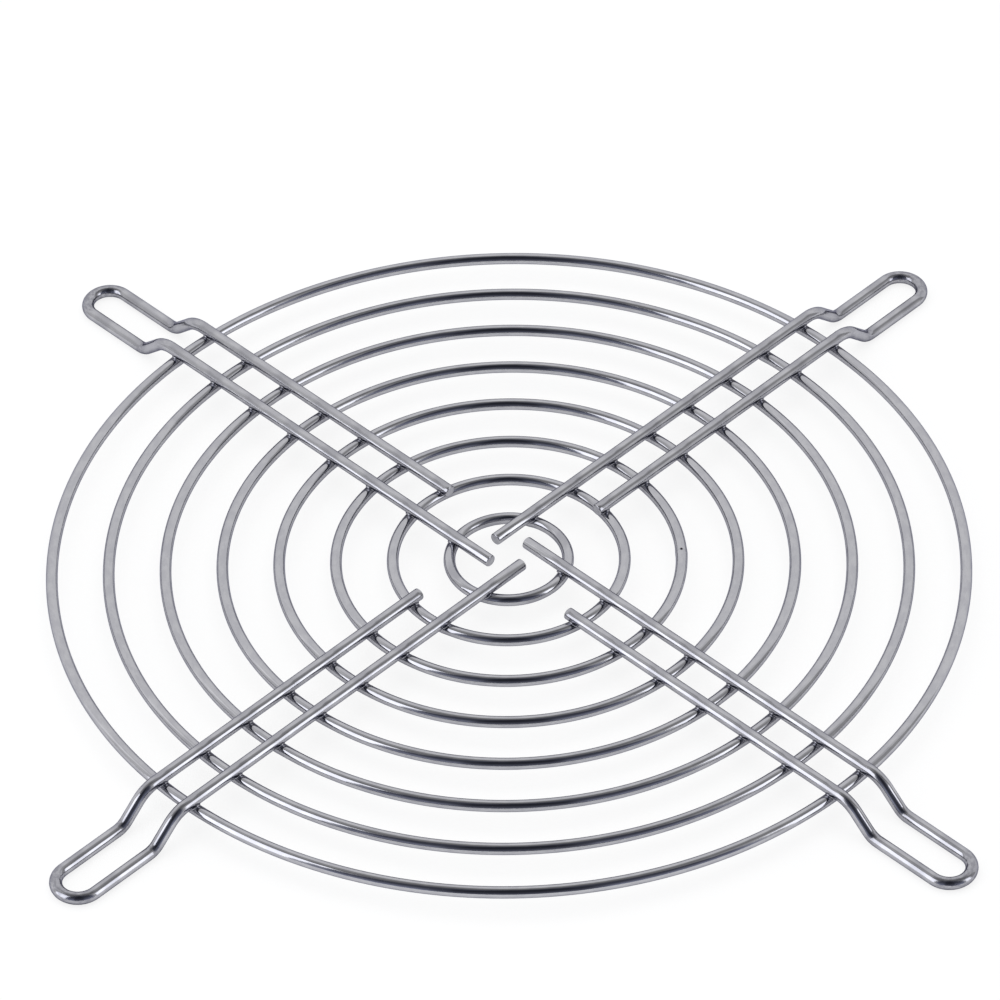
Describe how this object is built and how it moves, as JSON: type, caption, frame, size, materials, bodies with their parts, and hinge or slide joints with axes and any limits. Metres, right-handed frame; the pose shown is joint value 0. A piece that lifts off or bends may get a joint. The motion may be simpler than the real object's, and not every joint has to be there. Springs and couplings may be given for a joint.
{
  "type": "wire fan guard",
  "caption": "Welded wire finger guard for a 120 mm square axial fan: concentric rings on hairpin spokes that step down to a screw loop at each corner.",
  "frame": {"origin": "the fan's axis, at the face of the fan frame that the underside of the screw loops rests on", "axes": "+Z points away from the fan, out of the guard; X and Y run along the sides of the square fan frame, so the four screw loops lie on the diagonals"},
  "size_m": [0.117, 0.117, 0.0052],
  "materials": {
    "ring_wire": "bright plated",
    "spoke_wire": "bright plated"
  },
  "bodies": {
    "root": {"ring_1": "ring_wire", "ring_2": "ring_wire", "ring_3": "ring_wire", "ring_4": "ring_wire", "ring_5": "ring_wire", "ring_6": "ring_wire", "ring_7": "ring_wire", "ring_8": "ring_wire", "spoke_back_right": "spoke_wire", "spoke_back_left": "spoke_wire", "spoke_front_left": "spoke_wire", "spoke_front_right": "spoke_wire"}
  },
  "joints": []
}
